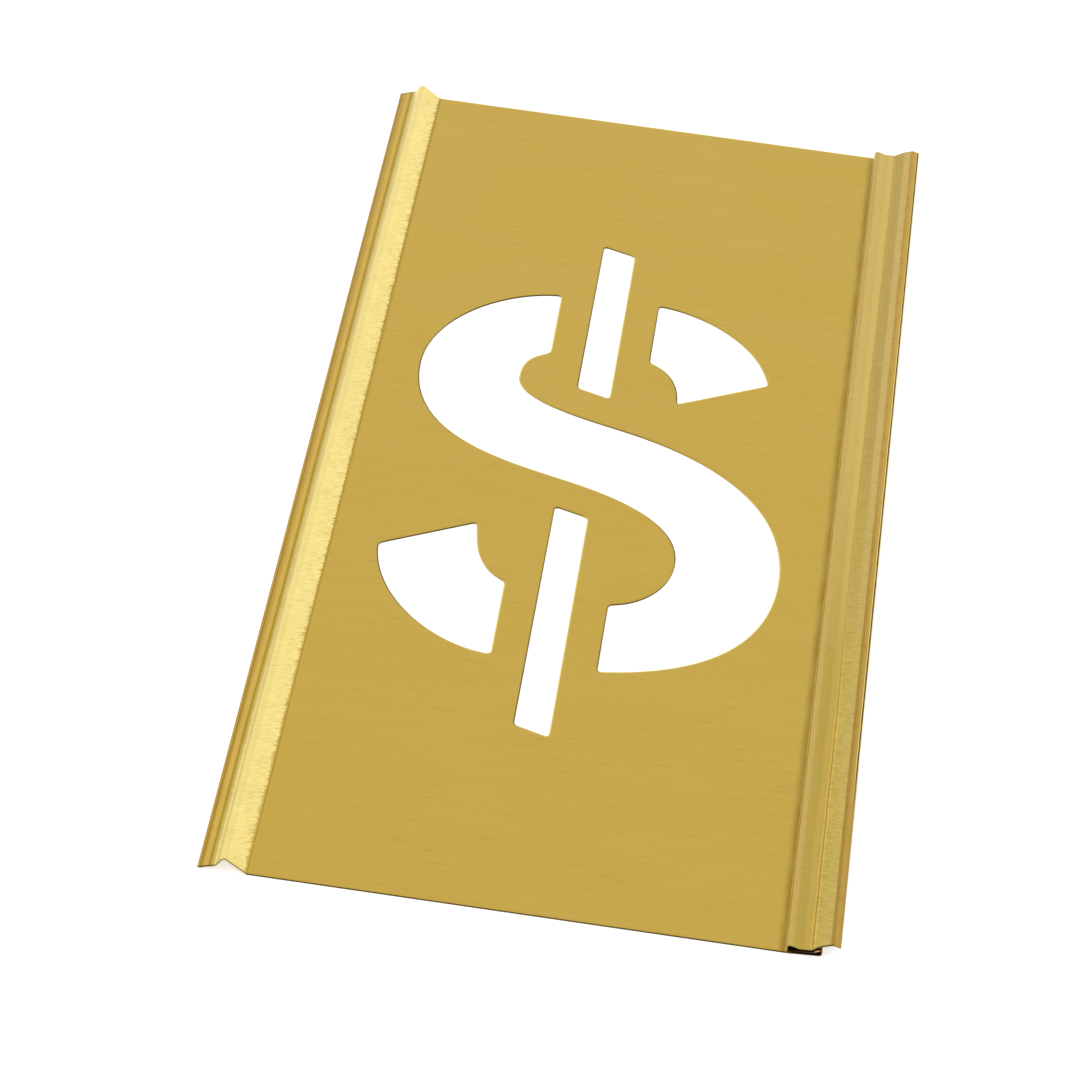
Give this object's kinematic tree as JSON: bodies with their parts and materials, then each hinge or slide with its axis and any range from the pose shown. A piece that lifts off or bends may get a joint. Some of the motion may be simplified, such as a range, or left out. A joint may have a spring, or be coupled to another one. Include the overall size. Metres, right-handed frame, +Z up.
{
  "type": "lettering stencil",
  "caption": "Interlocking sheet brass lettering stencil with a dollar sign cut through it, a folded tongue on its left edge and a folded channel on its right edge.",
  "frame": {"origin": "centre of the overall width and length, on the surface that the stencil rests on", "axes": "+X from the tongue's rail to the channel's rail, +Y along the rails towards the top of the sign, +Z up, away from the surface that is marked"},
  "size_m": [0.0992, 0.216, 0.0031],
  "materials": {
    "panel_brass": "rolled half-matt sheet with faint streaks along the roll and light tarnish",
    "ramp_brass": "folded edge, rubbed brighter, with fine marks across it",
    "tongue_brass": "folded edge, darker in the creases",
    "hem_brass": "inner faces of the fold, a little duller and redder",
    "roof_brass": "folded edge, rubbed along the bends, with scratches at the lip"
  },
  "bodies": {
    "root": {"stencil_plate": "panel_brass", "tongue_ramp": "ramp_brass", "tongue_riser": "ramp_brass", "tongue": "tongue_brass", "hem_floor": "hem_brass", "hem_bead": "hem_brass", "hem_return": "hem_brass", "channel_back": "roof_brass", "channel_roof": "roof_brass", "roof_slope": "roof_brass", "roof_lip": "roof_brass"}
  },
  "joints": []
}
